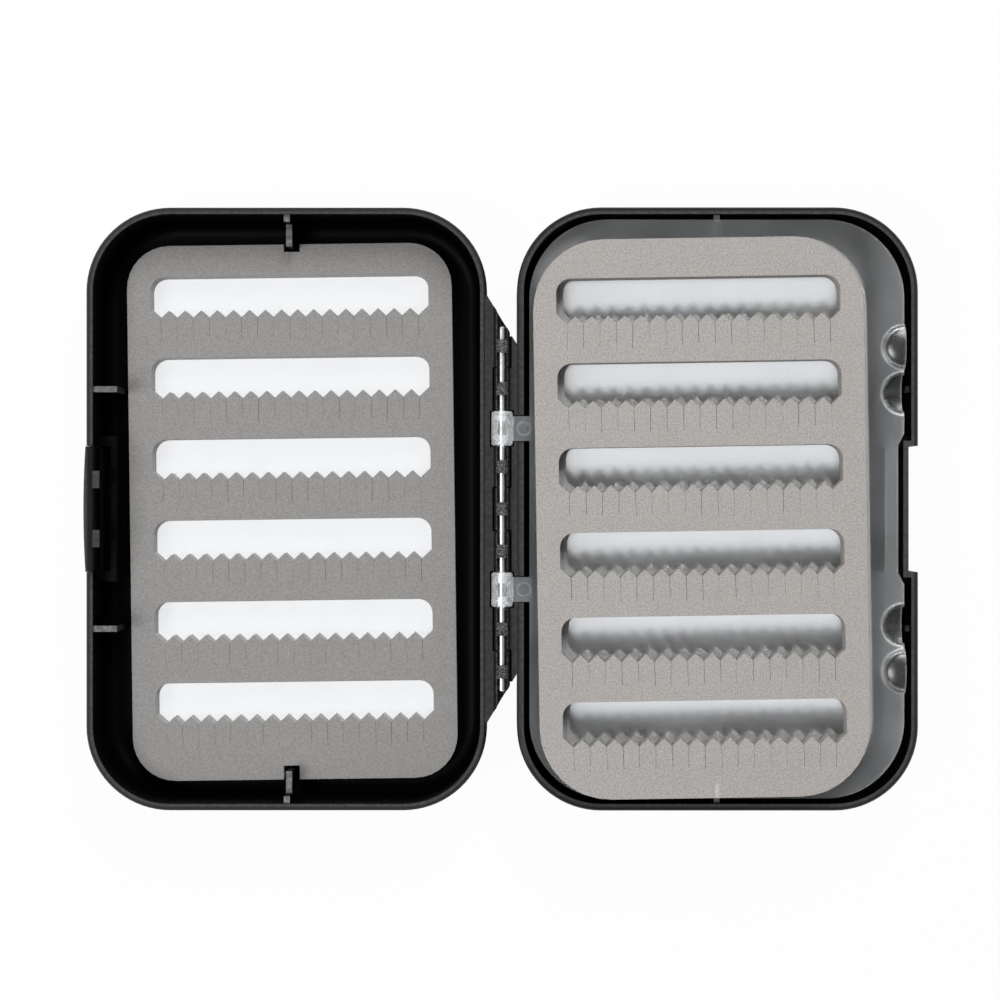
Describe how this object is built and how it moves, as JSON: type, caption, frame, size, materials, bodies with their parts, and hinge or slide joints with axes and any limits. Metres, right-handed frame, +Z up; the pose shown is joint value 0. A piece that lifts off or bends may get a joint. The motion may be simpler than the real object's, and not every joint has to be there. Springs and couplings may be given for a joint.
{
  "type": "fly box",
  "caption": "Flat pocket fly box opened flat: two rounded black trays on a pin hinge, a clear swing leaf, toothed slit foam sheets, clear floor panes and a snap latch.",
  "frame": {"origin": "on the table, under the middle of the hinge pin, with the box opened flat", "axes": "+X from the hinge towards the base's free edge, +Y along the hinge pin, +Z up out of the open trays"},
  "size_m": [0.2082, 0.151, 0.0232],
  "materials": {
    "black_plastic": "satin moulded",
    "clear_plastic": "clear, glossy",
    "frosted_plastic": "frosted on one face",
    "film": "thin adhesive film",
    "grey_foam": "closed-cell foam",
    "pale_foam": "closed-cell foam",
    "steel": "drawn bright rod"
  },
  "bodies": {
    "base": {"base_shell": "black_plastic", "base_window": "clear_plastic", "base_tape": "film", "base_foam": "grey_foam", "hinge_pin": "steel"},
    "lid": {"lid_shell": "black_plastic", "lid_window": "clear_plastic", "lid_tape": "film", "lid_foam": "grey_foam"},
    "leaf": {"leaf_plate": "frosted_plastic", "leaf_front_tape": "film", "leaf_front_foam": "pale_foam", "leaf_back_tape": "film", "leaf_back_foam": "pale_foam"},
    "latch": {"latch": "black_plastic"}
  },
  "joints": [
    {"name": "lid_hinge", "type": "hinge", "parent": "base", "child": "lid", "pos_m": [0, 0, 0.0181], "axis": [0, 1, 0], "range_deg": [0, 180]},
    {"name": "leaf_swing", "type": "hinge", "parent": "base", "child": "leaf", "pos_m": [0, 0, 0.0181], "axis": [0, -1, 0], "range_deg": [0, 180]},
    {"name": "latch_pivot", "type": "hinge", "parent": "lid", "child": "latch", "pos_m": [-0.1022, 0, 0.0101], "axis": [0, -1, 0], "range_deg": [0, 90]}
  ]
}
